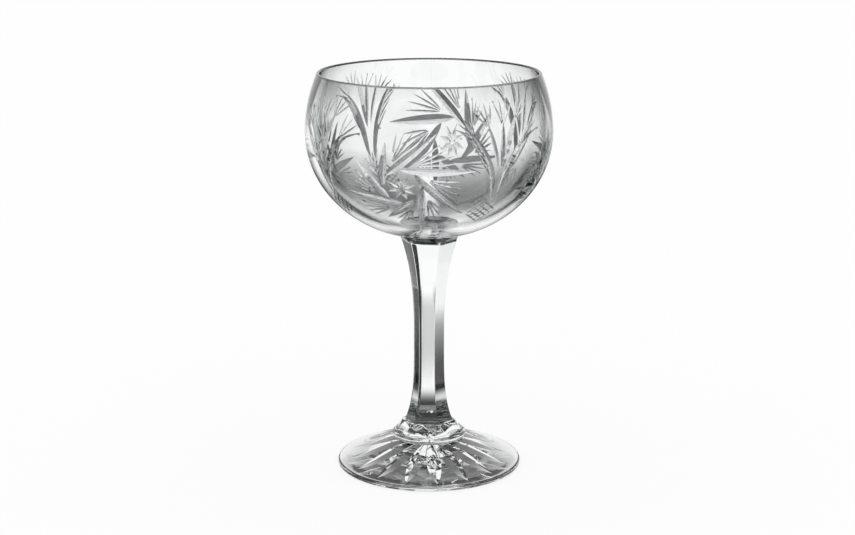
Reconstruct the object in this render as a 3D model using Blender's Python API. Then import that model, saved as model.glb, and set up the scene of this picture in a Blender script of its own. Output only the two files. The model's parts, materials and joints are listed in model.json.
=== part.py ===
# Champagne glass in cut crystal: a bowl, a six-sided stem, a collar and a star-cut foot.
# Every piece is one closed solid; all stand on one upright axis with the foot at z = 0.

import math

import bmesh
import bpy
from mathutils import Vector

MM = 0.001

# Fit between the pieces
WELD_GAP = 0.3 * MM

# Foot
FOOT_RADIUS = 34.9 * MM
FOOT_EDGE = 1.9 * MM
FOOT_HEIGHT = 10.6 * MM
FOOT_SEAT_RADIUS = 13.4 * MM
FOOT_SWEEP = 1.5
FOOT_HOLLOW = 5.0 * MM
REST_RING_WIDTH = 2.4 * MM

# Star under the foot
STAR_RAYS = 16
STAR_REACH = 30.2 * MM
STAR_START = 6.0 * MM
STAR_WIDTH = 5.2 * MM
STAR_CUT_ANGLE = math.radians(120.0)
STAR_TURN = math.radians(5.9)
STAR_LEAN = 1.0

# Collar
COLLAR_RADIUS = 14.2 * MM
COLLAR_HEIGHT = 6.0 * MM
COLLAR_BEAD = 1.9 * MM
COLLAR_TOP_RADIUS = 10.0 * MM
COLLAR_BULGE = 0.75
COLLAR_FLATNESS = 0.85

# Stem, measured from its axis to the corners of the six facets
STEM_FACETS = 6
STEM_LENGTH = 72.3 * MM
STEM_BASE_RADIUS = 9.1 * MM
STEM_NECK_RADIUS = 5.8 * MM
STEM_TOP_RADIUS = 11.8 * MM
STEM_NECK_SHARE = 0.48
STEM_TOP_FLARE = 2.5
STEM_BASE_FLARE = 4.4
STEM_ARCH = 2.6 * MM
STEM_ARCH_BEND = 1.4
STEM_TURN = math.radians(-8.7)

# Bowl
BOWL_RADIUS = 45.74 * MM
BOWL_DEPTH = 39.34 * MM
BOWL_SHOULDER = 22.2 * MM
BOWL_WALL = 2.9 * MM
BOWL_BASE = 3.0 * MM
RIM_RADIUS = 41.35 * MM
RIM_WALL = 1.3 * MM
BOWL_TURN = math.radians(-12.8)

# Cuts in the bowl: pinwheels, and a sheaf of five curved leaves between each two.
# A leaf is its start, the control point of its bend, its tip and its width, in millimetres
# across and up from the middle of the sheaf.
PINWHEELS = 4
PINWHEEL_ELEVATION = math.radians(-16.6)
BLADE_OFFSET = 7.2 * MM
BLADE_TAIL = 1.6 * MM
BLADE_WIDTH = 3.1 * MM
BLADE_LEAN = 0.75
BLADE_FIRST = math.radians(84.0)
BLADE_LENGTHS = (16.5, 24.0, 27.0, 25.5, 20.5, 16.0, 22.5, 19.0)
SHEAF_LEAVES = (((0.0, -7.5), (-1.2, 10.0), (-12.0, 20.7), 2.3),
                ((0.0, 6.6), (-1.4, 14.5), (-4.4, 22.8), 1.6),
                ((1.5, 6.8), (1.5, 15.0), (2.3, 23.2), 2.0),
                ((1.7, 5.6), (3.4, 16.0), (8.9, 25.4), 2.7),
                ((2.0, -5.0), (3.0, 9.8), (13.4, 18.0), 2.7))
LEAF_LEAN = 0.95
CUT_ANGLE = math.radians(110.0)

# Cutting wheel: how far it stands out of the glass, and how far its ends lift off
WHEEL_CLEAR = 0.8 * MM
WHEEL_LIFT = 0.12 * MM

# Fineness of the round shapes
BOWL_SIDES = 72
FOOT_SIDES = 64
FACET_STEPS = 5
CUT_STEPS = 6
RAY_STEPS = 8

# Heights of the stack, worked out from the sizes above
COLLAR_Z = FOOT_HEIGHT + WELD_GAP
STEM_Z = COLLAR_Z + COLLAR_HEIGHT + WELD_GAP
STEM_TOP_Z = STEM_Z + STEM_LENGTH
SEAT_DROP = BOWL_DEPTH * math.sqrt(1.0 - (STEM_TOP_RADIUS / BOWL_RADIUS) ** 2)
BOWL_Z = STEM_TOP_Z + WELD_GAP + SEAT_DROP


def clear_scene():
    for item in list(bpy.data.objects):
        bpy.data.objects.remove(item, do_unlink=True)


def crystal(name, tint):
    """Clear lead crystal: a see-through Principled material with a faint tint."""
    material = bpy.data.materials.new(name)
    material.use_nodes = True
    shader = material.node_tree.nodes["Principled BSDF"]
    shader.inputs["Base Color"].default_value = (*tint, 1.0)
    shader.inputs["Roughness"].default_value = 0.03
    shader.inputs["IOR"].default_value = 1.545
    shader.inputs["Transmission Weight"].default_value = 1.0
    return material


def add_object(name, bm, material=None):
    """Turns a finished bmesh into a named object with outward faces."""
    bmesh.ops.recalc_face_normals(bm, faces=bm.faces)
    mesh = bpy.data.meshes.new(name)
    bm.to_mesh(mesh)
    bm.free()
    item = bpy.data.objects.new(name, mesh)
    bpy.context.scene.collection.objects.link(item)
    if material:
        mesh.materials.append(material)
        mesh.shade_smooth()
        mesh.set_sharp_from_angle(angle=math.radians(32.0))
    return item


def turned(name, outline, sides, material):
    """Spins an outline of (radius, height) pairs once around the upright axis."""
    bm = bmesh.new()
    points = [bm.verts.new((r, 0.0, z)) for r, z in outline]
    edges = [bm.edges.new(pair) for pair in zip(points, points[1:])]
    bmesh.ops.spin(bm, geom=points + edges, cent=(0, 0, 0), axis=(0, 0, 1),
                   angle=math.tau, steps=sides, use_merge=True)
    bmesh.ops.remove_doubles(bm, verts=bm.verts, dist=0.00001)
    return add_object(name, bm, material)


def lofted(name, rings, material=None):
    """Skins a stack of rings of equal count and closes both ends with a flat face."""
    bm = bmesh.new()
    loops = [[bm.verts.new(point) for point in ring] for ring in rings]
    for low, high in zip(loops, loops[1:]):
        for i in range(len(low)):
            bm.faces.new((low[i - 1], low[i], high[i], high[i - 1]))
    bm.faces.new(loops[0])
    bm.faces.new(loops[-1])
    return add_object(name, bm, material)


def faceted_ring(radius, roundness, z):
    """A ring of six flats with its corners at radius; roundness 1 makes it a circle.

    The distance of a flat from the axis grows with roundness while the corners stay
    on the circle, so that a stack of rings shows facets that run out in arches.
    """
    step = math.tau / STEM_FACETS
    flat = math.cos(step / 2)
    flat = radius * (flat + (1.0 - flat) * roundness)
    ring = []
    for i in range(STEM_FACETS * FACET_STEPS * 2):
        share = i / (FACET_STEPS * 2)
        swing = (share - math.floor(share)) * step - step / 2
        reach = min(radius, flat / math.cos(swing))
        angle = share * step - step / 2
        ring.append((reach * math.sin(angle), -reach * math.cos(angle), z))
    return ring


def bowl_outline(widest, depth, end_radius, height, low_steps, high_steps):
    """Outline of one bowl surface from its bottom on the axis up to the rim.

    Below the widest circle it is a quarter of an ellipse. Above it the wall leans
    towards the rim with the square of the height.
    """
    points = []
    for i in range(low_steps):
        t = math.pi / 2 * i / low_steps
        points.append((widest * math.sin(t), -depth * math.cos(t)))
    for i in range(high_steps + 1):
        share = i / high_steps
        points.append((widest + (end_radius - widest) * share ** 2, height * share))
    return points


def bowl_reach(rise):
    """Distance from the bowl centre to its outer surface along a direction.

    rise is the upward part of the unit direction. The two cases are the ellipse and
    the leaning wall of bowl_outline, solved for the distance.
    """
    level = math.sqrt(max(0.0, 1.0 - rise * rise))
    if rise < 0.0:
        return 1.0 / math.hypot(level / BOWL_RADIUS, rise / BOWL_DEPTH)
    lean = (BOWL_RADIUS - RIM_RADIUS) * (rise / (BOWL_SHOULDER - RIM_WALL / 2)) ** 2
    return 2.0 * BOWL_RADIUS / (level + math.sqrt(level * level + 4.0 * lean * BOWL_RADIUS))


def bowl_direction(azimuth, elevation, x, y):
    """Direction from the bowl centre to a spot x across and y up from a chosen one."""
    hub = Vector((math.sin(azimuth) * math.cos(elevation),
                  -math.cos(azimuth) * math.cos(elevation), math.sin(elevation)))
    right = Vector((math.cos(azimuth), math.sin(azimuth), 0.0))
    up = hub.cross(right)
    far = math.hypot(x, y)
    if far < 1e-9:
        return hub
    turn = far / BOWL_RADIUS
    return hub * math.cos(turn) + (right * x + up * y) / far * math.sin(turn)


def mitre_cutter(name, path, outs, depths, angle):
    """A wedge along a path: its keel runs at the given depth below the surface."""
    slope = math.tan(angle / 2)
    rings = []
    for i, (point, out, depth) in enumerate(zip(path, outs, depths)):
        along = path[min(i + 1, len(path) - 1)] - path[max(i - 1, 0)]
        side = along.cross(out).normalized()
        half = (depth + WHEEL_CLEAR) * slope
        top = point + out * WHEEL_CLEAR
        rings.append([point - out * depth, top + side * half, top - side * half])
    item = lofted(name, rings)
    item.hide_render = True
    item.display_type = "WIRE"
    return item


def lens_depths(count, deepest, lean):
    """Depth along a cut: nothing at both ends, deepest where lean puts it."""
    depths = []
    for i in range(count):
        s = (i / (count - 1)) ** lean
        depths.append(deepest * 4.0 * s * (1.0 - s) - WHEEL_LIFT * (i in (0, count - 1)))
    return depths


def bowl_cut(name, azimuth, elevation, spots, width, lean):
    """A wedge that follows spots on the bowl surface around one chosen direction."""
    outs = [bowl_direction(azimuth, elevation, x, y) for x, y in spots]
    path = [out * bowl_reach(out.z) for out in outs]
    deepest = width / 2 / math.tan(CUT_ANGLE / 2)
    depths = lens_depths(len(spots), deepest, lean)
    return mitre_cutter(name, path, outs, depths, CUT_ANGLE)


def blade_spots(number):
    """Straight line of a pinwheel blade, which passes beside the hub, not through it."""
    bearing = BLADE_FIRST - number * math.tau / len(BLADE_LENGTHS)
    ahead = (math.cos(bearing), math.sin(bearing))
    length = BLADE_LENGTHS[number] * MM
    spots = []
    for i in range(CUT_STEPS + 1):
        s = -BLADE_TAIL + (length + BLADE_TAIL) * i / CUT_STEPS
        spots.append((ahead[0] * s - ahead[1] * BLADE_OFFSET,
                      ahead[1] * s + ahead[0] * BLADE_OFFSET))
    return spots


def leaf_spots(start, control, tip):
    """Curve with one control point: (1 - s)^2 start + 2 s (1 - s) control + s^2 tip."""
    spots = []
    for i in range(CUT_STEPS + 1):
        s = i / CUT_STEPS
        spots.append(tuple(((1 - s) ** 2 * a + 2 * s * (1 - s) * b + s ** 2 * c) * MM
                           for a, b, c in zip(start, control, tip)))
    return spots


def carve(item, cutters):
    """Takes the cutters out of a piece with one exact Boolean."""
    group = bpy.data.collections.new(item.name + "_cutters")
    bpy.context.scene.collection.children.link(group)
    for cutter in cutters:
        bpy.context.scene.collection.objects.unlink(cutter)
        group.objects.link(cutter)
        cutter.parent = item
    cut = item.modifiers.new("cuts", "BOOLEAN")
    cut.operation = "DIFFERENCE"
    cut.operand_type = "COLLECTION"
    cut.collection = group
    cut.solver = "EXACT"


def make_bowl(material):
    """Hollow bowl with a rounded rim, cut with pinwheels and sheaves."""
    outline = bowl_outline(BOWL_RADIUS, BOWL_DEPTH, RIM_RADIUS,
                           BOWL_SHOULDER - RIM_WALL / 2, 14, 6)
    bead = RIM_WALL / 2
    for i in range(1, 6):
        t = math.pi * i / 6
        outline.append((RIM_RADIUS - bead + bead * math.cos(t),
                        BOWL_SHOULDER - bead + bead * math.sin(t)))
    inside = bowl_outline(BOWL_RADIUS - BOWL_WALL, BOWL_DEPTH - BOWL_BASE,
                          RIM_RADIUS - RIM_WALL, BOWL_SHOULDER - bead, 12, 5)
    bowl = turned("bowl", outline + inside[::-1], BOWL_SIDES, material)
    cutters = []
    for p in range(PINWHEELS):
        hub = p * math.tau / PINWHEELS
        for b in range(len(BLADE_LENGTHS)):
            cutters.append(bowl_cut(f"blade_{p}_{b}", hub, PINWHEEL_ELEVATION,
                                    blade_spots(b), BLADE_WIDTH, BLADE_LEAN))
        between = hub + math.pi / PINWHEELS
        for b, (start, control, tip, width) in enumerate(SHEAF_LEAVES):
            cutters.append(bowl_cut(f"leaf_{p}_{b}", between, PINWHEEL_ELEVATION,
                                    leaf_spots(start, control, tip), width * MM,
                                    LEAF_LEAN))
    carve(bowl, cutters)
    bowl.location.z = BOWL_Z
    bowl.rotation_euler.z = BOWL_TURN
    return bowl


def stem_radius(share):
    """Corner radius of the stem at a share of its length: a waist and two flares."""
    if share > STEM_NECK_SHARE:
        t = (share - STEM_NECK_SHARE) / (1.0 - STEM_NECK_SHARE)
        return STEM_NECK_RADIUS + (STEM_TOP_RADIUS - STEM_NECK_RADIUS) * t ** STEM_TOP_FLARE
    t = 1.0 - share / STEM_NECK_SHARE
    return STEM_NECK_RADIUS + (STEM_BASE_RADIUS - STEM_NECK_RADIUS) * t ** STEM_BASE_FLARE


def make_stem(material):
    """Six-sided stem with a dished top in which the bowl sits."""
    arch = STEM_ARCH / STEM_LENGTH
    shaft = (0.0, 0.016, 0.036, 0.062, 0.093, 0.135, 0.187, 0.26, 0.36, 0.5, 0.6, 0.685,
             0.757, 0.82, 0.871, 0.918, 0.96, 1.0)
    shares = [s * (1.0 - arch) for s in shaft]
    shares += [1.0 - arch * s for s in (0.75, 0.5, 0.25, 0.0)]
    rings = []
    for share in shares:
        roundness = max(0.0, 1.0 - (1.0 - share) / arch) ** STEM_ARCH_BEND
        rings.append(faceted_ring(stem_radius(share), roundness, share * STEM_LENGTH))
    for share in (0.8, 0.55, 0.3, 0.08):
        r = STEM_TOP_RADIUS * share
        drop = BOWL_DEPTH * math.sqrt(1.0 - (r / BOWL_RADIUS) ** 2)
        rings.append(faceted_ring(r, 1.0, STEM_LENGTH + SEAT_DROP - drop))
    stem = lofted("stem", rings, material)
    stem.location.z = STEM_Z
    stem.rotation_euler.z = STEM_TURN
    return stem


def make_collar(material):
    """Collar between stem and foot: a round bead below, six facets running out above."""
    bead = COLLAR_BEAD / 2
    rings = []
    for degrees in (-90, -65, -40, -15, 10, 35, 60):
        t = math.radians(degrees)
        rings.append(faceted_ring(COLLAR_RADIUS - bead + bead * math.cos(t), 1.0,
                                  bead + bead * math.sin(t)))
    start_r = COLLAR_RADIUS - bead + bead * math.cos(math.radians(60))
    start_z = bead + bead * math.sin(math.radians(60))
    for share in (0.2, 0.4, 0.6, 0.8, 1.0):
        r = start_r + (COLLAR_TOP_RADIUS - start_r) * share ** COLLAR_BULGE
        z = start_z + (COLLAR_HEIGHT - start_z) * share
        rings.append(faceted_ring(r, 1.0 - COLLAR_FLATNESS * share, z))
    collar = lofted("collar", rings, material)
    collar.location.z = COLLAR_Z
    collar.rotation_euler.z = STEM_TURN
    return collar


def hollow_height(r):
    """Height of the bell-shaped hollow under the foot, which stands on its outer ring."""
    inner = FOOT_RADIUS - FOOT_EDGE / 2 - REST_RING_WIDTH
    return FOOT_HOLLOW * (1.0 - (r / inner) ** 2) ** 2


def make_foot(material):
    """Round foot with a hollow sweep on top and a star cut in its underside."""
    edge = FOOT_EDGE / 2
    outer = FOOT_RADIUS - edge
    inner = outer - REST_RING_WIDTH
    outline = [(inner * i / 8, hollow_height(inner * i / 8)) for i in range(9)]
    for i in range(7):
        t = math.pi * (i / 6 - 0.5)
        outline.append((outer + edge * math.cos(t), edge + edge * math.sin(t)))
    for i in range(1, 13):
        r = outer + (FOOT_SEAT_RADIUS - outer) * i / 12
        rise = ((outer - r) / (outer - FOOT_SEAT_RADIUS)) ** FOOT_SWEEP
        outline.append((r, FOOT_EDGE + (FOOT_HEIGHT - FOOT_EDGE) * rise))
    outline.append((0.0, FOOT_HEIGHT))
    foot = turned("foot", outline, FOOT_SIDES, material)
    cutters = []
    deepest = STAR_WIDTH / 2 / math.tan(STAR_CUT_ANGLE / 2)
    for ray in range(STAR_RAYS):
        angle = math.tau * ray / STAR_RAYS
        radii = [STAR_START + (STAR_REACH - STAR_START) * i / RAY_STEPS
                 for i in range(RAY_STEPS + 1)]
        path = [Vector((r * math.sin(angle), -r * math.cos(angle), hollow_height(r)))
                for r in radii]
        outs = [Vector((0.0, 0.0, -1.0))] * len(path)
        depths = lens_depths(len(path), deepest, STAR_LEAN)
        cutters.append(mitre_cutter(f"ray_{ray}", path, outs, depths, STAR_CUT_ANGLE))
    carve(foot, cutters)
    foot.rotation_euler.z = STAR_TURN
    return foot


def main():
    clear_scene()
    axis = bpy.data.objects.new("glass_axis", None)
    bpy.context.scene.collection.objects.link(axis)
    pieces = (make_foot(crystal("crystal_foot", (0.95, 0.96, 0.96))),
              make_collar(crystal("crystal_collar", (0.93, 0.95, 0.95))),
              make_stem(crystal("crystal_stem", (0.94, 0.96, 0.97))),
              make_bowl(crystal("crystal_bowl", (0.96, 0.97, 0.97))))
    for piece in pieces:
        piece.parent = axis


main()
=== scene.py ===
# %% [markdown]
# # A champagne glass in cut crystal
#
# The glass is four gathers of lead crystal fused while hot: a blown bowl, a solid six-sided stem, a
# collar and a foot. A cutter then ground mitre grooves into the bowl and a star under the foot. This
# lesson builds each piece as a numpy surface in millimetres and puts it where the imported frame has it.

# %% Load the frame
import json
import math

import bpy
import numpy as np
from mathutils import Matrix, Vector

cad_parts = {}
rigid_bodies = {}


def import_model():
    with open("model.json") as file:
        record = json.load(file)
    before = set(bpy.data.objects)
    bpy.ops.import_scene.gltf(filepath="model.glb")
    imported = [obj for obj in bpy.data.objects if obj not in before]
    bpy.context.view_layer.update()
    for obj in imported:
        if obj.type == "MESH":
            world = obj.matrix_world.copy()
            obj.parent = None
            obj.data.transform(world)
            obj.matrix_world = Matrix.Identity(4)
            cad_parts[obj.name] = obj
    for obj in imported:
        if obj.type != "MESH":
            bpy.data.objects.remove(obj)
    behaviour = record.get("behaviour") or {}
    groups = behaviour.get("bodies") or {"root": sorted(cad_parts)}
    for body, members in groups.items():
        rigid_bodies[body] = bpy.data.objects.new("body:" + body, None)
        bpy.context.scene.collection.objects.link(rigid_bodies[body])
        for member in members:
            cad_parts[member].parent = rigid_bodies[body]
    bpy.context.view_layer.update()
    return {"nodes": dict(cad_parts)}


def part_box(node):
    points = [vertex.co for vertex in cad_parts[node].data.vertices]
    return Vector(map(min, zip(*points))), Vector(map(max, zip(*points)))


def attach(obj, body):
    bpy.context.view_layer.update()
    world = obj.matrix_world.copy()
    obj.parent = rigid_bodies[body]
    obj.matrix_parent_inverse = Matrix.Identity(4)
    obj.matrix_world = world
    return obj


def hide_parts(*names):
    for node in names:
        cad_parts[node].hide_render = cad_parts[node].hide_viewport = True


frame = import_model()
MM = 0.001
print("frame nodes:", sorted(frame["nodes"]))

# %% [markdown]
# ## Camera
#
# The photograph looks down at the glass by about fourteen degrees with a long lens, so the rim and the
# foot are narrow ovals. The place of the camera was worked out from those two ovals and the height of
# the glass. A camera could also be aimed with a constraint, but plain numbers hold still.

# %% Camera
LENS, SENSOR = 75.857, 36.0
CAMERA_AT = (-0.563, -656.85, 237.27)
CAMERA_DOWN = 13.77
camera_data = bpy.data.cameras.new("camera")
camera_data.lens = LENS
camera_data.sensor_width = SENSOR
camera_data.sensor_fit = "HORIZONTAL"
camera_data.clip_start = 0.01
camera = bpy.data.objects.new("camera", camera_data)
camera.location = [v * MM for v in CAMERA_AT]
camera.rotation_euler = (math.radians(90.0 - CAMERA_DOWN), 0.0, 0.0)
bpy.context.scene.collection.objects.link(camera)
bpy.context.scene.camera = camera
print("camera lens:", round(camera_data.lens, 1), "mm")

# %% [markdown]
# ## Colours and nodes
#
# A colour is written as a hex number, as a paint chart gives it, and shaders count in linear light, so
# one function turns one into the other. A second one adds a node with its settings and links. Nodes could
# be drawn by hand in the editor, but in code every number can be read.

# %% Colours and nodes
def linear(text):
    """sRGB hex to linear: (c + 0.055) / 1.055 to the power 2.4, or c / 12.92 when dark."""
    c = np.array([int(text[i:i + 2], 16) for i in (1, 3, 5)]) / 255.0
    light = np.where(c > 0.04045, ((c + 0.055) / 1.055) ** 2.4, c / 12.92)
    return (*light.tolist(), 1.0)


def add(tree, kind, links=(), **settings):
    """Adds a node; settings go to sockets by name, or to attributes; links are (socket, source)."""
    node = tree.nodes.new(kind)
    for key, value in settings.items():
        if key in node.inputs:
            node.inputs[key].default_value = value
        else:
            setattr(node, key, value)
    for socket, source in links:
        tree.links.new(source, node.inputs[socket])
    return node


print("mid grey in linear light:", round(linear("#808080")[0], 3))

# %% [markdown]
# ## Sheets of points
#
# Every piece of the glass was turned or pressed, so each is one closed skin around the upright axis. Here
# that skin is a grid: rows run along the outline of a piece and columns run around it, and a fan to one
# point closes each end. Spinning a curve would give round pieces only; a grid also takes flats and rays.

# %% Sheets of points
def sheet_faces(rows, columns):
    """Quads of a grid whose columns close around, and the two fans that close its ends."""
    ring = np.arange(rows * columns).reshape(rows, columns)
    after = np.roll(ring, -1, axis=1)
    quads = np.stack([ring[:-1], after[:-1], after[1:], ring[1:]], axis=-1).reshape(-1, 4)
    first = np.full(columns, rows * columns)
    start = np.stack([first, after[0], ring[0]], axis=-1)
    end = np.stack([first + 1, ring[-1], after[-1]], axis=-1)
    return quads, start, end


def closed_piece(name, grid, start, end, materials, slots, sharp=24.0):
    """Mesh from a (rows, columns, 3) grid in mm; start and end are the points that close it.

    slots gives the material number of each row of faces, the two closing fans included. An edge is
    sharp where its faces differ by more than that many degrees.
    """
    rows, columns = grid.shape[:2]
    quads, first, last = sheet_faces(rows, columns)
    points = np.concatenate([grid.reshape(-1, 3), [start, end]]) * MM
    mesh = bpy.data.meshes.new(name)
    mesh.from_pydata(points.tolist(), [], first.tolist() + quads.tolist() + last.tolist())
    for material in materials:
        mesh.materials.append(material)
    mesh.polygons.foreach_set("material_index", np.repeat(slots, columns).astype(np.int32))
    mesh.shade_smooth()
    mesh.set_sharp_from_angle(angle=math.radians(sharp))
    mesh.update()
    item = bpy.data.objects.new(name, mesh)
    bpy.context.scene.collection.objects.link(item)
    print(name, "grid:", rows, "x", columns)
    return item


def turn(radius, angle, height):
    """Points at a radius and height, turned by an angle from the front (-Y) towards +X."""
    radius, angle, height = np.broadcast_arrays(radius, angle, height)
    return np.stack([radius * np.sin(angle), -radius * np.cos(angle), height], axis=-1)


print("the front of a 10 mm circle:", turn(10.0, 0.0, 0.0).round(1).tolist())

# %% [markdown]
# ## Crystal
#
# Lead crystal bends light more than window glass does: its index is about 1.545, which gives heavy dark
# and bright bands. Its surface is never quite even, so a noise ripple of a given width and height bends
# the light a little. One shader could do for all with painted masks, but one material for each finish is
# simpler to read and to export.

# %% Crystal
CRYSTAL_INDEX = 1.545


def crystal(name, roughness, ripple_mm, ripple_height_mm, tint):
    """Clear crystal with a noise ripple of a given width and height in millimetres."""
    material = bpy.data.materials.new(name)
    material.use_nodes = True
    tree = material.node_tree
    tree.nodes.clear()
    place = add(tree, "ShaderNodeTexCoord")
    ripple = add(tree, "ShaderNodeTexNoise", [("Vector", place.outputs["Object"])],
                 Scale=1.0 / (ripple_mm * MM), Detail=1.0)
    bump = add(tree, "ShaderNodeBump", [("Height", ripple.outputs["Fac"])],
               Strength=1.0, Distance=ripple_height_mm * MM)
    shader = add(tree, "ShaderNodeBsdfPrincipled", [("Normal", bump.outputs["Normal"])],
                 IOR=CRYSTAL_INDEX, Roughness=roughness)
    shader.inputs["Base Color"].default_value = linear(tint)
    shader.inputs["Transmission Weight"].default_value = 1.0
    add(tree, "ShaderNodeOutputMaterial", [("Surface", shader.outputs["BSDF"])])
    return material


print("crystal index:", CRYSTAL_INDEX)

# %% [markdown]
# ## Finishes
#
# The same crystal looks different where fire, a stone wheel or acid made its surface. The grey of a
# groove could be left to the light alone, but on a white ground clear cuts nearly vanish, and the light of
# the photograph isn't known. So the shade of a groove is painted: the upper flank is nearly clear and the
# lower one is painted grey, and each cut has a bright and a dark side.

# %% Finishes
# Blown and fire-polished: smooth, with a slow swell that makes long reflections waver.
fire_polished = crystal("lead_crystal_fire_polished", 0.0, 14.0, 0.02, "#fdfefe")
# Ground by a wheel, then polished: clear, with faint wheel marks that break up the glints. Its light grey
# tint is a faint painted shade on the upper flank of a groove.
wheel_cut = crystal("lead_crystal_wheel_cut_polished", 0.02, 1.6, 0.004, "#e8ebeb")
# Painted shade on the lower flank of a groove: it draws the dark side of each cut. The grey is a guess.
wheel_cut_painted_shade = crystal("lead_crystal_wheel_cut_painted_shade", 0.02, 1.6, 0.004, "#3e4242")
# Dipped in acid: as clear as the blank, so the star under the foot sparkles.
star_cut = crystal("lead_crystal_acid_polished_cut", 0.02, 1.6, 0.004, "#fbfcfc")
# Left matt by the stone: soft and pale. Real grit marks are finer, and are drawn wider so that they show.
satin_cut = crystal("lead_crystal_satin_cut", 0.22, 0.6, 0.01, "#f4f6f6")
# Melted round by a flame into a thin bead; its grey is painted shade that draws one dark line at the
# mouth. The grey is a guess too.
rim_painted_shade = crystal("lead_crystal_melted_rim_painted_shade", 0.0, 14.0, 0.02, "#8e9292")
finishes = (fire_polished, wheel_cut, wheel_cut_painted_shade, star_cut, satin_cut, rim_painted_shade)
print("finishes:", [material.name for material in finishes])

# %% [markdown]
# ## Fused joints
#
# Where two gathers are fused there is no surface inside, so light isn't bent there. The ends of a piece
# could be left open, but then its skin would not be closed. So the faces that close it only tint the
# light, and their grey is painted shade: none at the foot, a little under the bowl and more at the collar,
# where it darkens the joints.

# %% Fused joints
def fused_joint(name, tint):
    """A face inside the crystal that bends nothing and only tints the light that crosses it."""
    material = bpy.data.materials.new(name)
    material.use_nodes = True
    tree = material.node_tree
    tree.nodes.clear()
    clear = add(tree, "ShaderNodeBsdfTransparent", Color=linear(tint))
    add(tree, "ShaderNodeOutputMaterial", [("Surface", clear.outputs["BSDF"])])
    return material


fused = fused_joint("lead_crystal_fused_joint", "#ffffff")
faint_seam_painted_shade = fused_joint("lead_crystal_fused_joint_faint_painted_shade", "#bcc0c0")
seam_painted_shade = fused_joint("lead_crystal_fused_joint_painted_shade", "#787c7c")
print("joints:", [material.name for material in (fused, faint_seam_painted_shade, seam_painted_shade)])

# %% [markdown]
# ## Flats
#
# Six flats are ground along the stem and run on into the collar. A lofted hexagon would do for the shaft,
# but arches come by themselves when each ring takes the smaller of two radii: the round blank, or the
# flat divided by the cosine of the angle away from its middle.

# %% Flats
STEM_TURN = math.radians(-8.7)
FACET = math.radians(60.0)
RIDGE = 0.994
FACET_STOPS = np.array([0.0, 6.0, 12.0, 17.0, 21.0, 24.5, 27.0, 28.4, 29.2, 29.6])


def facet_angles():
    """Angles around a six-sided ring, close together at the ridges where the shape turns."""
    swing = np.radians(np.concatenate([[-30.0], -FACET_STOPS[:0:-1], FACET_STOPS]))
    return (swing[None, :] + FACET * np.arange(6)[:, None]).ravel(), np.tile(swing, 6)


def faceted_rings(radius, roundness, height):
    """Rings of six flats: the smaller of the blank radius and flat / cos(angle off the middle).

    The flat lies at radius x (cos 30 + (1 - cos 30) x roundness), so roundness 1 is a circle.
    """
    angle, swing = facet_angles()
    flat = radius * (math.cos(FACET / 2) + (1.0 - math.cos(FACET / 2)) * roundness)
    reach = np.minimum(RIDGE * radius[:, None], flat[:, None] / np.cos(swing)[None, :])
    return turn(reach, angle[None, :] + STEM_TURN, height[:, None])


print("columns around the stem:", len(facet_angles()[0]))

# %% [markdown]
# ## Stem
#
# The stem is drawn out of the gather, so it is thinnest near the middle and flares to both ends. A flat
# stops in an arch under the bowl, where the round blank is left. A curve with a bevel could sweep it, but
# a stack of rings gives the waist, the flares and the arches at once. Its top follows the bowl.

# %% Outline of the stem
STEM_NECK, STEM_TOP, STEM_FOOT = 5.8, 11.3, 9.1
NECK_AT, ARCH = 0.48, 2.6
COVE, COVE_FADE = 0.5, 0.35
BOWL_R, BOWL_DROP, BOWL_RISE = 45.74, 39.34, 22.2
DISH = np.array([0.25, 0.5, 0.75])
stem_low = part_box("collar")[1].z / MM
stem_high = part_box("stem")[1].z / MM
bowl_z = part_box("bowl")[1].z / MM - BOWL_RISE


def bowl_underside(radius):
    """Height of the bowl's outside at a radius: its centre less depth x sqrt(1 - (r / R)^2)."""
    return bowl_z - BOWL_DROP * np.sqrt(1.0 - (radius / BOWL_R) ** 2)


def stem_rings():
    """Waist and two flares: neck + (end - neck) x t^power, with a small cove under the bowl."""
    share = np.concatenate([np.linspace(0.0, 0.12, 14), np.linspace(0.135, 0.88, 36),
                            np.linspace(0.9, 1.0, 26)])
    up = np.clip((share - NECK_AT) / (1.0 - NECK_AT), 0.0, 1.0) ** 2.5
    down = np.clip(1.0 - share / NECK_AT, 0.0, 1.0) ** 4.4
    height = stem_low + (stem_high - stem_low) * share
    below = (1.0 - share) * (stem_high - stem_low)
    radius = STEM_NECK + (STEM_TOP - STEM_NECK) * up + (STEM_FOOT - STEM_NECK) * down
    radius = radius + COVE * np.exp(-below / COVE_FADE)
    roundness = np.clip(1.0 - below / ARCH, 0.0, 1.0) ** 1.4
    rings = faceted_rings(radius, roundness, height)
    r = np.hypot(rings[-1, :, 0], rings[-1, :, 1])
    rings[-1, :, 2] = bowl_underside(r)
    dish = rings[-1][None] * DISH[::-1, None, None]
    dish[..., 2] = bowl_underside(np.hypot(dish[..., 0], dish[..., 1]))
    return np.concatenate([rings, dish])


print("stem:", round(stem_high - stem_low, 1), "mm long")

# %% [markdown]
# ## Joining the stem
#
# Both ends of the stem are fused to a neighbour, so the faces there take the seams of painted shade. They
# could be cut off as pieces of their own, but a material number for each row of faces is enough.

# %% Stem
rings = stem_rings()
# The first row closes the end on the collar, and the last rows lie under the bowl.
slots = np.zeros(len(rings) + 1)
slots[0] = 1
slots[-1 - len(DISH):] = 2
# The end on the collar takes the darker painted shade of the seam, the dish under the bowl the faint one.
stem = closed_piece("stem_crystal", rings, (0, 0, stem_low), (0, 0, float(bowl_underside(0.0))),
                    [fire_polished, seam_painted_shade, faint_seam_painted_shade], slots)
weld = rings[-1 - len(DISH), 0]
weld_r = float(np.hypot(weld[0], weld[1]))
print("stem joint radius:", round(weld_r, 2), "mm")

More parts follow.
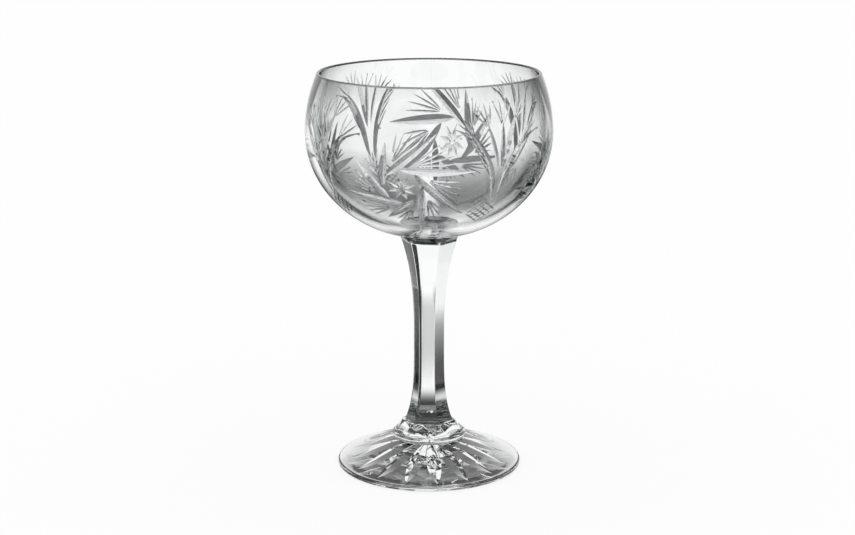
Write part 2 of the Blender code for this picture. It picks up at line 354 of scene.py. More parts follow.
# %% [markdown]
# ## Collar
#
# The collar is a squat ring pressed between stem and foot. Its foot is a round bead; above that the six
# flats of the stem run out in shallow arches, with a narrow ledge around the end of the stem. A bevelled
# cone could stand for it, but the same kind of ring stack as the stem keeps its flats in line.

# %% Collar
COLLAR_R, BEAD, SLOPE_TOP, LEDGE = 14.2, 0.95, 10.0, 9.75
collar_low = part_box("foot")[1].z / MM
bead_angle = np.radians(np.linspace(-90.0, 62.0, 16))
bead_r = COLLAR_R - BEAD + BEAD * np.cos(bead_angle)
bead_z = BEAD + BEAD * np.sin(bead_angle)
share = np.linspace(0.0, 1.0, 22)[1:]
slope_r = bead_r[-1] + (SLOPE_TOP - bead_r[-1]) * share ** 0.75
slope_z = bead_z[-1] + (stem_low - collar_low - bead_z[-1]) * share
radius = np.concatenate([bead_r, slope_r, [LEDGE, STEM_FOOT]])
roundness = np.concatenate([np.ones_like(bead_r), 1.0 - 0.9 * share, [0.05, 0.0]])
height = collar_low + np.concatenate([bead_z, slope_z, [slope_z[-1], slope_z[-1]]])
rings = faceted_rings(radius, roundness, height)
slots = np.zeros(len(rings) + 1)
slots[0] = 1
slots[-1] = 2
# The top face on the stem takes the darker painted shade of the seam.
collar = closed_piece("collar_crystal", rings, (0, 0, collar_low), (0, 0, stem_low),
                      [fire_polished, fused, seam_painted_shade], slots)

# %% [markdown]
# ## Star under the foot
#
# The underside of the foot is a low dome with sixteen mitre rays. A ray keeps its width for most of its
# length and ends in a pointed arch, as a wheel leaves it. A Boolean could cut the rays, but columns of the
# grid that follow the keel and the two edges of each ray keep every edge crisp.

# %% Star under the foot
RAYS = 16
SECTOR = math.pi / RAYS
STAR_TURN = math.radians(5.9)
STAR_REACH, STAR_BROAD, STAR_HALF = 30.2, 16.0, 2.6
RAY_SLOPE = math.tan(math.radians(30.0))
RAY_LEAST, RAY_LAND = 0.004, 0.1
FOOT_R, FOOT_EDGE, FOOT_SEAT, FOOT_HOLLOW = 34.9, 1.9, 13.25, 5.0
REST_WIDTH = 2.4
rest_outer = FOOT_R - FOOT_EDGE / 2
rest_inner = rest_outer - REST_WIDTH


def ray_half_width(r):
    """Half width of a ray: what the sector leaves near the middle, then an arch down to a point."""
    arch = np.clip((r - STAR_BROAD) / (STAR_REACH - STAR_BROAD), 0.0, 1.0)
    return np.minimum(r * math.sin(SECTOR) - RAY_LAND, STAR_HALF * (1.0 - arch ** 2.2))


def star_underside(r):
    """Dome under the foot with mitre rays: depth is (half width - distance off the keel) x slope.

    The columns of each half sector run from the keel of a ray to its edge and on over the land.
    """
    wide = ray_half_width(r)[:, None]
    edge = np.arcsin(np.clip(wide / r[:, None], RAY_LEAST, math.sin(SECTOR)))
    half = np.concatenate([edge * np.linspace(0.0, 1.0, 6)[None, :],
                           edge + (SECTOR - edge) * np.linspace(0.0, 1.0, 5)[None, 1:]], axis=1)
    side = np.concatenate([-half[:, :0:-1], half[:, :-1]], axis=1)
    rise = np.maximum(wide - r[:, None] * np.sin(np.abs(side)), 0.0) * RAY_SLOPE
    dome = FOOT_HOLLOW * (1.0 - (r / rest_inner) ** 2) ** 2
    angle = (side[:, None, :] + 2 * SECTOR * np.arange(RAYS)[None, :, None]).reshape(len(r), -1)
    return angle + STAR_TURN, np.tile(rise, (1, RAYS)) + dome[:, None]


print("rays:", RAYS, "each up to", 2 * STAR_HALF, "mm wide")

# %% [markdown]
# ## Foot
#
# The foot is a thin disc whose top sweeps up in a hollow curve, and the glass stands on its outer ring.
# Top and underside could be two sheets, but one stack of rings from the middle below, around the edge and
# up to the collar leaves no seam.

# %% Foot
def foot_rings():
    """Underside, flat rest ring, round edge and hollow top of the foot, as one stack of rings."""
    r_under = np.concatenate([np.linspace(1.2, 14.0, 20), np.linspace(14.6, STAR_REACH, 44),
                              [rest_inner]])
    angle, rise = star_underside(r_under)
    under = turn(r_under[:, None], angle, rise)
    t = np.radians(np.linspace(-90.0, 90.0, 31))
    edge = FOOT_EDGE / 2
    top_r = np.linspace(rest_outer, FOOT_SEAT, 44)[1:]
    sweep = ((rest_outer - top_r) / (rest_outer - FOOT_SEAT)) ** 1.5
    r = np.concatenate([rest_outer + edge * np.cos(t), top_r])
    z = np.concatenate([edge + edge * np.sin(t), FOOT_EDGE + (collar_low - FOOT_EDGE) * sweep])
    over = turn(r[:, None], angle[-1:], z[:, None])
    return np.concatenate([under, over]), len(r_under) - 1


rings, star_rows = foot_rings()
slots = np.zeros(len(rings) + 1)
slots[:star_rows] = 1
slots[-1] = 2
foot = closed_piece("foot_crystal", rings, (0, 0, float(rings[0, :, 2].max())), (0, 0, collar_low),
                    [fire_polished, star_cut, fused], slots, sharp=9.0)

# %% [markdown]
# ## Bowl blank
#
# The bowl is blown, so outside and inside are each a smooth turned surface: an ellipse below the widest
# circle, and above it a wall that leans in with the square of the height. The rim is melted round. Two
# spun curves would do, but as one outline, from the middle of the underside, up the outside, over the rim
# and down inside, the wall is closed from the start.

# %% Outline of the bowl
BOWL_SIDES, CURVE_STEPS, INNER_START = 192, 44, 0.03
BOWL_WALL, BOWL_BASE = 2.9, 3.0
RIM_R, RIM_WALL = 41.35, 1.3
RIM_H = BOWL_RISE - RIM_WALL / 2


def bowl_curve(widest, depth, rim, low):
    """Radius and height from angle low up to the rim: ellipse, then rim lean x (h / H)^2."""
    t = np.linspace(low, math.pi / 2, CURVE_STEPS)[:-1]
    share = np.linspace(0.0, 1.0, 18)
    r = np.concatenate([widest * np.sin(t), widest + (rim - widest) * share ** 2])
    z = np.concatenate([-depth * np.cos(t), RIM_H * share])
    return r, z


out_r, out_z = bowl_curve(BOWL_R, BOWL_DROP, RIM_R, math.asin(weld_r / BOWL_R))
in_r, in_z = bowl_curve(BOWL_R - BOWL_WALL, BOWL_DROP - BOWL_BASE, RIM_R - RIM_WALL, INNER_START)
t = np.linspace(0.0, math.pi, 13)[1:-1]
rim_r = RIM_R - RIM_WALL / 2 + RIM_WALL / 2 * np.cos(t)
rim_z = RIM_H + RIM_WALL / 2 * np.sin(t)
base_r = weld_r * DISH
base_z = -BOWL_DROP * np.sqrt(1.0 - (base_r / BOWL_R) ** 2)
print("bowl mouth:", round(2 * (RIM_R - RIM_WALL), 1), "mm across")

# %% [markdown]
# ## Bowl finishes
#
# One skin carries six finishes: the blank, the two flanks of the cuts, the satin stars, the seam on the
# stem and the rim. The grey lower flank, the seam and the rim are painted shade. They could be six pieces,
# but glass has to be one closed skin, so each face has a number instead.

# %% Bowl
BLANK, CUT, SATIN, SEAM_PAINTED_SHADE, RIM_PAINTED_SHADE, PAINTED_SHADE_FLANK = range(6)
bowl_paints = (fire_polished, wheel_cut, satin_cut, faint_seam_painted_shade, rim_painted_shade, wheel_cut_painted_shade)
radius = np.concatenate([base_r, out_r, rim_r, in_r[::-1]])
height = bowl_z + np.concatenate([base_z, out_z, rim_z, in_z[::-1]])
angle = np.linspace(0.0, 2 * math.pi, BOWL_SIDES, endpoint=False)
rings = turn(radius[:, None], angle[None, :], height[:, None])
slots = np.full(len(rings) + 1, BLANK)
# The rows on the stem take the faint painted shade of the seam.
slots[:len(DISH) + 1] = SEAM_PAINTED_SHADE
rim_row = len(base_r) + len(out_r)
# The rim rows take the painted shade of the dark line at the mouth.
slots[rim_row:rim_row + len(rim_r) + 1] = RIM_PAINTED_SHADE
bowl = closed_piece("bowl_crystal", rings, (0, 0, bowl_z - BOWL_DROP),
                    (0, 0, bowl_z - BOWL_DROP + BOWL_BASE), bowl_paints, slots)

# %% [markdown]
# ## Where the cuts go
#
# The cutter marks the bowl into four equal panels: a turning pinwheel in each, and a sheaf of curved
# stalks between each two. The cuts could be drawn straight in space, but a straight groove on a round
# bowl is nearly a great circle. So each is drawn in millimetres on a flat patch around the middle of its
# motif, and the patch is wrapped onto the bowl from its centre.

# %% Wrapping a flat patch on the bowl
HUB_ELEVATION = math.radians(-16.6)
BOWL_TURN = math.radians(-12.8)


def bowl_reach(rise):
    """Distance from bowl centre to its outside along a direction whose upward part is rise."""
    level = np.sqrt(1.0 - rise ** 2)
    low = 1.0 / np.hypot(level / BOWL_R, rise / BOWL_DROP)
    lean = (BOWL_R - RIM_R) * (rise / RIM_H) ** 2
    high = 2.0 * BOWL_R / (level + np.sqrt(level ** 2 + 4.0 * lean * BOWL_R))
    return np.where(rise < 0.0, low, high)


def wrap(spots, azimuth):
    """Unit directions of flat (x, y) spots in mm around a motif: the angle is distance / radius."""
    hub = np.array([math.sin(azimuth) * math.cos(HUB_ELEVATION),
                    -math.cos(azimuth) * math.cos(HUB_ELEVATION), math.sin(HUB_ELEVATION)])
    right = np.array([math.cos(azimuth), math.sin(azimuth), 0.0])
    up = np.cross(hub, right)
    far = np.maximum(np.hypot(spots[..., 0], spots[..., 1]), 1e-6)[..., None]
    aside = (spots[..., :1] * right + spots[..., 1:] * up) / far
    return hub * np.cos(far / BOWL_R) + aside * np.sin(far / BOWL_R)


print("hub to bowl centre:", round(float(bowl_reach(math.sin(HUB_ELEVATION))), 2), "mm")

# %% [markdown]
# ## Mitre wheel
#
# A mitre wheel has a V edge. It sinks in, runs along and lifts out, so a groove is a pointed leaf with a
# keel in the middle. Pushing the skin in would blur its edges, so the tool is a wedge to be cut away: a
# triangle carried along the path, its keel as deep as the half width over the tangent of half the V
# angle, and just above the surface at both ends.

# %% Mitre wheel
CUT_ANGLE = math.radians(110.0)
CLEAR, LIFT = 0.7, 0.06


def wedges(spots, azimuth, width, lean, leaf):
    """Triangles carried along (n, k, 2) paths: returns (n, k, 3, 3) corners in mm.

    Along the path s is the share of its length to the power lean, so a lean below 1 puts the widest
    place nearer the start. Depth is deepest x 4 s (1 - s) for a leaf, or x (1 - |2 s - 1|) for a kite.
    """
    out = wrap(spots, azimuth)
    on = out * bowl_reach(out[..., 2])[..., None]
    along = np.gradient(on, axis=1)
    side = np.cross(along, out)
    side /= np.linalg.norm(side, axis=-1, keepdims=True)
    s = np.linspace(0.0, 1.0, spots.shape[1]) ** lean
    swell = 4.0 * s * (1.0 - s) if leaf else 1.0 - np.abs(2.0 * s - 1.0)
    swell[[0, -1]] = 0.0
    depth = width / 2 / math.tan(CUT_ANGLE / 2) * swell - LIFT * (swell == 0.0)
    depth = depth[None, :, None]
    half = (depth + CLEAR) * math.tan(CUT_ANGLE / 2)
    top = on + out * CLEAR
    corners = np.stack([on - out * depth, top + side * half, top - side * half], axis=2)
    return corners + np.array([0.0, 0.0, bowl_z])


print("a groove 3 mm wide is", round(1.5 / math.tan(CUT_ANGLE / 2), 2), "mm deep")

# %% [markdown]
# ## Cutting
#
# The cutter repeats every cut in all four panels before changing the wheel. Copies could be made by a
# turning array, but the wedges of four panels are worked out together and make one tool mesh, and all
# tools wait in one collection until the grinding.

# %% Cutting
PANELS = 4
wheel_cuts = bpy.data.collections.new("wheel_cuts")
bpy.context.scene.collection.children.link(wheel_cuts)


def wheel_tool(name, corners, slot):
    """One closed wedge mesh for each of the (n, k, 3, 3) corner arrays, all in one object."""
    n, k = corners.shape[:2]
    ring = np.arange(n * k * 3).reshape(n, k, 3)
    after = np.roll(ring, -1, axis=2)
    sides = np.stack([ring[:, :-1], after[:, :-1], after[:, 1:], ring[:, 1:]], axis=-1).reshape(-1, 4)
    caps = np.concatenate([ring[:, 0, ::-1], ring[:, -1]])
    mesh = bpy.data.meshes.new(name)
    mesh.from_pydata((corners.reshape(-1, 3) * MM).tolist(), [], sides.tolist() + caps.tolist())
    for material in bowl_paints:
        mesh.materials.append(material)
    mesh.polygons.foreach_set("material_index", np.full(len(mesh.polygons), slot, np.int32))
    mesh.update()
    wheel_cuts.objects.link(bpy.data.objects.new(name, mesh))


def cut(name, paths, width, lean, between=False, slot=CUT, leaf=True):
    """Cuts each path into all four panels; between moves it to the sheaf beside the pinwheel."""
    paths = np.asarray(paths, float)
    width = np.broadcast_to(width, len(paths))
    aside = math.pi / PANELS if between else 0.0
    for i, path in enumerate(paths):
        panels = [wedges(path[None], BOWL_TURN + 2 * math.pi / PANELS * p + aside, width[i], lean, leaf)
                  for p in range(PANELS)]
        wheel_tool(f"{name}_{i}", np.concatenate(panels), slot)
    print(name, "cuts in each panel:", len(paths), "up to", width.max(), "mm wide")


def line(start, end, stations):
    """Straight paths between (n, 2) starts and ends."""
    s = np.linspace(0.0, 1.0, stations)[None, :, None]
    return np.asarray(start)[:, None, :] * (1.0 - s) + np.asarray(end)[:, None, :] * s


def bend(a, b, c, stations=17):
    """Curved path with one control point: (1 - s)^2 a + 2 s (1 - s) b + s^2 c."""
    s = np.linspace(0.0, 1.0, stations)[:, None]
    return (1 - s) ** 2 * np.array(a) + 2 * s * (1 - s) * np.array(b) + s ** 2 * np.array(c)


def heading(degrees):
    """Unit (x, y) of a bearing, counted from the right towards up."""
    return np.stack([np.cos(np.radians(degrees)), np.sin(np.radians(degrees))], axis=-1)


print("panels:", PANELS)

# %% [markdown]
# ## Pinwheel
#
# Eight deep blades turn around a small satin star. Each blade passes beside the hub, never through it,
# so the wheel seems to spin. From the root of every blade four long fine lines fan out over the space to
# the next one. The star is eight kites whose widest places touch. The lines could be a bump in the
# material, but real grooves catch the light from every side.

# %% Pinwheel
BLADES, BLADE_OFFSET, BLADE_BACK = 8, 7.2, 1.6
blade_length = np.array([16.5, 24.0, 27.0, 25.5, 20.5, 16.0, 22.5, 19.0])
blade_bearing = 84.0 - 45.0 * np.arange(BLADES)
ahead = heading(blade_bearing)
left = heading(blade_bearing + 90.0)
blade_foot = left * BLADE_OFFSET
blade_tip = blade_foot + ahead * blade_length[:, None]
cut("blade", line(blade_foot - ahead * BLADE_BACK, blade_tip, 15), width=3.1, lean=0.72)

FAN_GAP = 0.8
fan_way = heading(blade_bearing[:, None] + np.array([5.0, 16.0, 28.0, 41.0]))
fan_reach = blade_length[:, None] * np.array([0.64, 0.60, 0.55, 0.50])
fan_root = (blade_foot + ahead * 3.2 + left * 1.9)[:, None, :]
fan_start = fan_root + fan_way * FAN_GAP
fan_end = fan_root + fan_way * fan_reach[..., None]
cut("fan", line(fan_start.reshape(-1, 2), fan_end.reshape(-1, 2), 7), width=0.85, lean=0.8)

KITE_START, KITE_END = 0.35, 5.6
kite = heading(blade_bearing + 22.5)
cut("star", line(kite * KITE_START, kite * KITE_END, 11), width=1.9, lean=0.75, slot=SATIN, leaf=False)

# %% [markdown]
# ## Sheaf
#
# Five curved leaves part from one stalk like ears of corn. Fine lines spread from the tip of every leaf
# towards the rim, and barbs stand along the two outer ones. Each could be placed by hand, but only the
# leaves are listed: sprays and barbs start from points of the leaves and take their direction from them.

# %% Sheaf
leaves = np.stack([bend((0.0, -7.5), (-1.2, 10.0), (-12.0, 20.7)),
                   bend((0.0, 6.6), (-1.4, 14.5), (-4.4, 22.8)),
                   bend((1.5, 6.8), (1.5, 15.0), (2.3, 23.2)),
                   bend((1.7, 5.6), (3.4, 16.0), (8.9, 25.4)),
                   bend((2.0, -5.0), (3.0, 9.8), (13.4, 18.0))])
cut("leaf", leaves, width=[2.3, 1.6, 2.0, 2.7, 2.7], lean=0.95, between=True)

SPRAY_GAP = 0.6
spray_reach = np.array([8.5, 10.0, 10.5, 10.0, 11.0])[:, None, None]
spray_root = leaves[:, -3]
tip_way = leaves[:, -1] - spray_root
tip_bearing = np.degrees(np.arctan2(tip_way[:, 1], tip_way[:, 0]))[:, None]
spray_way = heading(tip_bearing + np.array([-26.0, -9.0, 9.0, 26.0]))
spray_start = spray_root[:, None] + spray_way * SPRAY_GAP
spray_end = spray_root[:, None] + spray_way * spray_reach
cut("spray", line(spray_start.reshape(-1, 2), spray_end.reshape(-1, 2), 7), width=0.8, lean=0.85,
    between=True)

BARB_GAP, BARB_REACH = 1.0, 10.0
barb_share = np.array([0.30, 0.42, 0.54, 0.66, 0.78])
barb_at = np.round(barb_share * (leaves.shape[1] - 1)).astype(int)
outer = leaves[[0, 4]]
barb_root = outer[:, barb_at]
stalk_way = outer[:, barb_at + 1] - outer[:, barb_at - 1]
stalk_bearing = np.degrees(np.arctan2(stalk_way[..., 1], stalk_way[..., 0]))
barb_way = heading(stalk_bearing + np.array([[22.0], [-22.0]]))
barb_start = barb_root + barb_way * BARB_GAP
barb_end = barb_root + barb_way * BARB_REACH
cut("barb", line(barb_start.reshape(-1, 2), barb_end.reshape(-1, 2), 7), width=0.75, lean=0.8,
    between=True)

# %% [markdown]
# ## Hatched block
#
# Below the stalk a small block of crossing lines leaves a field of little squares. A checker pattern in
# the material could draw it flat, but two sets of five shallow grooves give it edges that glint.

# %% Hatched block
HATCH_PITCH, HATCH_SPAN = 2.1, 10.4
hatch_middle = np.array([-2.0, -12.6])
row = (np.arange(5) - 2.0)[:, None] * HATCH_PITCH
for name, bearing in (("hatch_up", 52.0), ("hatch_down", -38.0)):
    middle = hatch_middle + row * heading(bearing + 90.0)
    way = heading(bearing) * HATCH_SPAN / 2
    cut(name, line(middle - way, middle + way, 7), width=0.7, lean=1.0, between=True)

# %% [markdown]
# ## Grinding
#
# The wheel takes the glass away for good. Cutting groove by groove would be slow, so all wedges leave the
# blank in one Boolean. The tools are then thrown away, and the edges of the grooves are kept crisp.

# %% Grinding
grind = bowl.modifiers.new("grind", "BOOLEAN")
grind.operation = "DIFFERENCE"
grind.operand_type = "COLLECTION"
grind.collection = wheel_cuts
grind.solver = "MANIFOLD"
ground = bpy.data.meshes.new_from_object(bowl.evaluated_get(bpy.context.evaluated_depsgraph_get()))
bowl.modifiers.clear()
bowl.data = ground
for tool in list(wheel_cuts.objects):
    bpy.data.objects.remove(tool, do_unlink=True)
bpy.data.collections.remove(wheel_cuts)
ground.name = "bowl_crystal"
ground.shade_smooth()
ground.set_sharp_from_angle(angle=math.radians(20.0))
print("ground faces:", len(ground.polygons))

# %% [markdown]
# ## Smooth blank, two flanks
#
# A Boolean splits the blown faces unevenly, and averaged normals would make dents in the reflections. So
# on the blown surfaces they come from the formula of the curve. The same formula tells the two flanks of
# a groove apart: the lower one, which gets the painted shade, looks further up than the blank did there.

# %% Directions on the bowl
MIDWALL_LOW, MIDWALL_HIGH = 0.55, 0.5
SIDEWAYS = 0.35
TINY = 1e-9


def is_inside(r, z):
    """True nearer the inner surface: within the curve that runs about half way through the wall."""
    wide = BOWL_R - MIDWALL_LOW * BOWL_WALL
    deep = BOWL_DROP - MIDWALL_LOW * BOWL_BASE
    widest = BOWL_R - MIDWALL_HIGH * BOWL_WALL
    rim = RIM_R - MIDWALL_HIGH * RIM_WALL
    below = np.hypot(r / wide, z / deep) < 1.0
    above = r < widest + (rim - widest) * (z / RIM_H) ** 2
    return np.where(z < 0.0, below, above)


def blown_normals(points):
    """Normals of the turned outside and inside: the gradient of the ellipse or of the leaning wall."""
    x, y, z = points[:, 0], points[:, 1], points[:, 2] - bowl_z
    r = np.maximum(np.hypot(x, y), TINY)
    inside = is_inside(r, z)
    wide = np.where(inside, BOWL_R - BOWL_WALL, BOWL_R)
    deep = np.where(inside, BOWL_DROP - BOWL_BASE, BOWL_DROP)
    rim = np.where(inside, RIM_R - RIM_WALL, RIM_R)
    nr = np.where(z < 0.0, r / wide ** 2, 1.0)
    nz = np.where(z < 0.0, z / deep ** 2, 2.0 * (wide - rim) * z / RIM_H ** 2)
    sign = np.where(inside, -1.0, 1.0) / np.hypot(nr, nz)
    normal = np.stack([sign * nr * x / r, sign * nr * y / r, sign * nz], axis=-1)
    off = r - RIM_R + RIM_WALL / 2
    bead = np.stack([off * x / r, off * y / r, z - RIM_H], axis=-1)
    bead /= np.maximum(np.linalg.norm(bead, axis=-1, keepdims=True), TINY)
    return np.where((z > RIM_H)[:, None], bead, normal)


def lower_flanks(mesh):
    """Faces that look further up, or a little to the right, than the blank does at their middle."""
    face = np.empty(len(mesh.polygons) * 3, np.float32)
    mesh.polygons.foreach_get("normal", face)
    middle = np.empty(len(mesh.polygons) * 3, np.float32)
    mesh.polygons.foreach_get("center", middle)
    middle = middle.reshape(-1, 3).astype(float) / MM
    tilt = face.reshape(-1, 3) - blown_normals(middle)
    x, y = middle[:, 0], middle[:, 1]
    around = (tilt[:, 1] * x - tilt[:, 0] * y) / np.maximum(np.hypot(x, y), TINY)
    return tilt[:, 2] + SIDEWAYS * around > 0.0


print("normal at the widest circle:", blown_normals(np.array([[BOWL_R, 0.0, bowl_z]])).round(2).tolist())

# %% [markdown]
# ## Finishing the bowl
#
# Each groove now gets painted shade on its lower flank, and the blank its smooth normals. Both could be
# modifiers, but written into the mesh they also reach the exported model.

# %% Finishing the bowl
slot = np.empty(len(ground.polygons), np.int32)
ground.polygons.foreach_get("material_index", slot)
# Painted shade: the lower flank of every groove takes the dark grey crystal.
slot = np.where((slot == CUT) & lower_flanks(ground), PAINTED_SHADE_FLANK, slot).astype(np.int32)
ground.polygons.foreach_set("material_index", slot)

corners = len(ground.loops)
vertex = np.empty(corners, np.int32)
ground.loops.foreach_get("vertex_index", vertex)
points = np.empty(len(ground.vertices) * 3, np.float32)
ground.vertices.foreach_get("co", points)
normals = np.empty(corners * 3, np.float32)
ground.corner_normals.foreach_get("vector", normals)
count = np.empty(len(ground.polygons), np.int32)
ground.polygons.foreach_get("loop_total", count)
blown = np.isin(np.repeat(slot, count), (BLANK, SEAM_PAINTED_SHADE, RIM_PAINTED_SHADE))
fresh = blown_normals(points.reshape(-1, 3)[vertex].astype(float) / MM)
normals = np.where(blown[:, None], fresh, normals.reshape(-1, 3))
ground.normals_split_custom_set(normals.tolist())
print("bowl triangles:", int((count - 2).sum()), "faces by finish:", np.bincount(slot).tolist())

# %% [markdown]
# ## Floor
#
# Clear glass shows what stands behind it, so the white ground is the main light. A pale floor runs under
# and far behind the glass. It could be plain white paint, but that greys under a soft sky. So most of what
# is seen of it is its own white, and under the foot the lit share is larger, which keeps the shadow.

# %% Floor
FLOOR_SIZE, FLOOR_DROP = 16000.0, 0.05
SHADE_INNER, SHADE_OUTER = 16.0, 36.0
WHITE_UNDER, WHITE_AROUND = 0.12, 0.85

u = np.array([[-1, -1], [1, -1], [1, 1], [-1, 1]]) * FLOOR_SIZE / 2
mesh = bpy.data.meshes.new("floor")
mesh.from_pydata(np.column_stack([u, np.full(4, -FLOOR_DROP)]).dot(MM).tolist(), [], [(0, 1, 2, 3)])
floor = bpy.data.objects.new("floor", mesh)
bpy.context.scene.collection.objects.link(floor)
pale = bpy.data.materials.new("pale_painted_floor")
pale.use_nodes = True
tree = pale.node_tree
tree.nodes.clear()
matt = add(tree, "ShaderNodeBsdfDiffuse", Color=linear("#f7f7f7"))
glow = add(tree, "ShaderNodeEmission", Color=linear("#ffffff"), Strength=1.0)
ray = add(tree, "ShaderNodeLightPath")
seen = add(tree, "ShaderNodeMath", operation="MAXIMUM",
           links=[(0, ray.outputs["Is Camera Ray"]), (1, ray.outputs["Is Glossy Ray"])])
seen = add(tree, "ShaderNodeMath", operation="MAXIMUM",
           links=[(0, seen.outputs[0]), (1, ray.outputs["Is Transmission Ray"])])
place = add(tree, "ShaderNodeTexCoord")
away = add(tree, "ShaderNodeVectorMath", [(0, place.outputs["Object"])], operation="LENGTH")
fade = add(tree, "ShaderNodeMapRange", [("Value", away.outputs["Value"])], interpolation_type="SMOOTHSTEP")
for name, value in (("From Min", SHADE_INNER * MM), ("From Max", SHADE_OUTER * MM),
                    ("To Min", WHITE_UNDER), ("To Max", WHITE_AROUND)):
    fade.inputs[name].default_value = value
share = add(tree, "ShaderNodeMath", operation="MULTIPLY",
            links=[(0, seen.outputs[0]), (1, fade.outputs["Result"])])
mix = add(tree, "ShaderNodeMixShader",
          [(0, share.outputs[0]), (1, matt.outputs[0]), (2, glow.outputs[0])])
add(tree, "ShaderNodeOutputMaterial", [("Surface", mix.outputs[0])])
floor.data.materials.append(pale)
print("floor:", FLOOR_SIZE * MM, "m")

# %% [markdown]
# ## Sky
#
# The light of the photograph isn't known, so the studio is taken to be a white tent. Lamps could light it,
# but each would add its own bright spots to the crystal, so the sky alone is evenly white.

# %% Sky
world = bpy.data.worlds.new("studio")
bpy.context.scene.world = world
world.use_nodes = True
tree = world.node_tree
tree.nodes.clear()
sky = add(tree, "ShaderNodeBackground", Color=linear("#ffffff"), Strength=1.0)
add(tree, "ShaderNodeOutputWorld", [("Surface", sky.outputs[0])])
print("sky strength:", sky.inputs["Strength"].default_value)

# %% [markdown]
# ## Card tools
#
# A glass on white would vanish, so a photographer lays dark cards around it, out of sight: where the
# crystal bends light aside, they draw the dark lines along its edges and in its cuts. A plain sheet would
# do, but its hard edge would show in the glass. So every card is feathered: how solid it is at a place is
# worked out in numpy and kept on the points of the mesh.

# %% Card tools
CARD_ROWS, CARD_COLUMNS = 41, 121
SLIT_SOFT, SLIT_CLEAR = 1.2, 0.8


def card_paint(name, tone):
    """Matt paint that is as solid as the number kept on the points of the card, clear where it is 0."""
    material = bpy.data.materials.new(name)
    material.use_nodes = True
    tree = material.node_tree
    tree.nodes.clear()
    solid = add(tree, "ShaderNodeAttribute", attribute_name="solid")
    matt = add(tree, "ShaderNodeBsdfDiffuse", Color=linear(tone))
    gone = add(tree, "ShaderNodeBsdfTransparent", Color=linear("#ffffff"))
    mix = add(tree, "ShaderNodeMixShader",
              [(0, solid.outputs["Fac"]), (1, gone.outputs[0]), (2, matt.outputs[0])])
    add(tree, "ShaderNodeOutputMaterial", [("Surface", mix.outputs[0])])
    return material


def grow(x, start, end):
    """Smooth step from 0 at start to 1 at end: t^2 (3 - 2 t), where t is the share of the way."""
    t = np.clip((x - start) / (end - start), 0.0, 1.0)
    return t * t * (3.0 - 2.0 * t)


def card(name, angles, reach, heights, paint, slit=0.0):
    """A soft sheet around the glass: angles from the front in degrees, reach from the axis in mm.

    Both are four numbers: where it begins, is solid, stops being solid and ends. It rises from the first
    height to the second. A slit leaves it clear up to that sideways distance from the line behind.
    """
    r = np.linspace(reach[0], reach[3], CARD_ROWS)[:, None]
    a = np.linspace(angles[0], angles[3], CARD_COLUMNS)[None, :]
    solid = grow(r, *reach[:2]) * grow(-r, -reach[3], -reach[2])
    solid = solid * grow(a, *angles[:2]) * grow(-a, -angles[3], -angles[2])
    if slit:
        aside = np.abs(r * np.sin(np.radians(a)))
        solid = solid * grow(aside, SLIT_CLEAR * slit, SLIT_SOFT * slit)
    points = turn(r, np.radians(a), np.interp(r, reach[::3], heights))
    ring = np.arange(solid.size).reshape(solid.shape)
    quads = np.stack([ring[:-1, :-1], ring[:-1, 1:], ring[1:, 1:], ring[1:, :-1]], axis=-1)
    mesh = bpy.data.meshes.new(name)
    mesh.from_pydata((points.reshape(-1, 3) * MM).tolist(), [], quads.reshape(-1, 4).tolist())
    mesh.attributes.new("solid", "FLOAT", "POINT").data.foreach_set("value", solid.ravel())
    mesh.materials.append(paint)
    item = bpy.data.objects.new(name, mesh)
    bpy.context.scene.collection.objects.link(item)
    item.visible_camera = False
    item.visible_diffuse = False
    item.visible_shadow = False


print("points on a card:", CARD_ROWS * CARD_COLUMNS)

# %% [markdown]
# ## Cards
#
# Boards lie on the floor at both sides, in a band behind and close to the foot, and two flags lean at the
# sides. The black board under the back of the foot is a painted contact shadow. One dark ring would be
# simpler, but it would blacken the whole stem: a narrow slit behind keeps its middle light, with a pale
# grey strip in it. Boards that overlap lie at least a tenth of a millimetre apart.

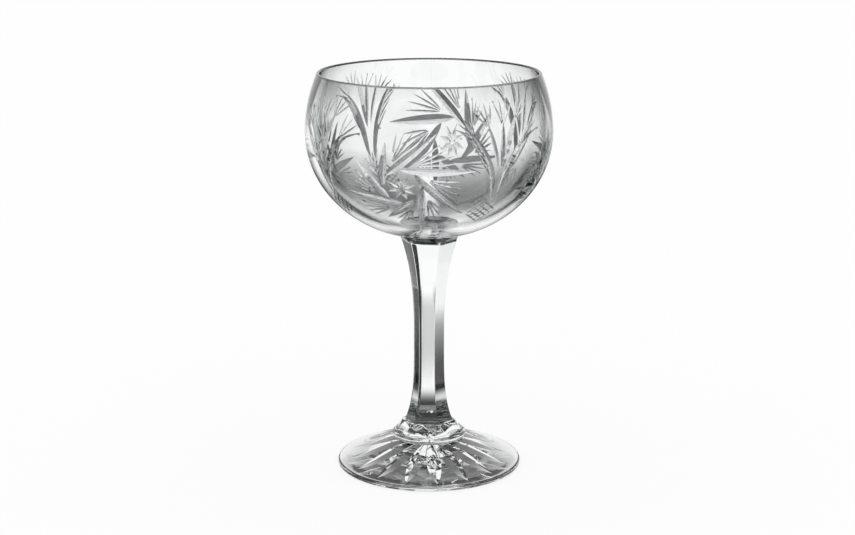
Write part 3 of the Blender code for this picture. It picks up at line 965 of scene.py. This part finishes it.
# %% Cards
SLIT = 6.5
SIDE = (37.0, 60.0, 600.0, 760.0)
FLAG = (600.0, 601.0, 660.0, 720.0)
FLAG_RISE = (0.0, 560.0)
black = card_paint("black_card", "#1c1c1c")
pale_grey = card_paint("pale_grey_card", "#cfcfcf")
card("flag_right", (92.0, 104.0, 130.0, 144.0), FLAG, FLAG_RISE, black)
card("flag_left", (-132.0, -120.0, -104.0, -92.0), FLAG, FLAG_RISE, black)
card("board_right", (92.0, 104.0, 136.0, 150.0), SIDE, (0.8, 0.8), black)
card("board_left", (-134.0, -122.0, -104.0, -92.0), SIDE, (0.8, 0.8), black)
card("board_faded", (-156.0, -145.0, -134.0, -122.0), (37.0, 60.0, 100.0, 330.0), (0.7, 0.7), black)
card("board_back", (146.0, 158.0, 202.0, 214.0), (180.0, 330.0, 331.0, 700.0), (0.6, 0.6), black, SLIT)
card("board_joint", (166.0, 172.0, 190.0, 198.0), (55.0, 75.0, 150.0, 200.0), (0.5, 0.5), black, SLIT)
card("board_slit", (178.4, 179.0, 181.0, 181.6), (60.0, 160.0, 250.0, 450.0), (0.4, 0.4), pale_grey)
# Painted contact shadow: a black board under the back of the foot, seen only in the crystal.
card("painted_contact_shadow_card", (145.0, 157.0, 203.0, 215.0), (1.0, 6.0, 40.0, 75.0), (-0.02, -0.02), black)
print("flags lean up to", FLAG_RISE[1], "mm high")

# %% [markdown]
# ## Join to the frame
#
# The real glass is one solid thing, so every piece rides on its one body and stands for its imported node.
# Joining the meshes would do for a picture, but as four pieces each keeps its name. Light needs many
# bounces to get through thick crystal.

# %% Join to the frame
BOUNCES, CLEAR_BOUNCES = 24, 16
for piece, node in ((bowl, "bowl"), (stem, "stem"), (collar, "collar"), (foot, "foot")):
    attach(piece, "root")
    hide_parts(node)

scene = bpy.context.scene
scene.view_settings.view_transform = "Standard"
scene.cycles.max_bounces = BOUNCES
scene.cycles.transmission_bounces = BOUNCES
scene.cycles.transparent_max_bounces = CLEAR_BOUNCES
scene.cycles.caustics_refractive = False
scene.cycles.caustics_reflective = False
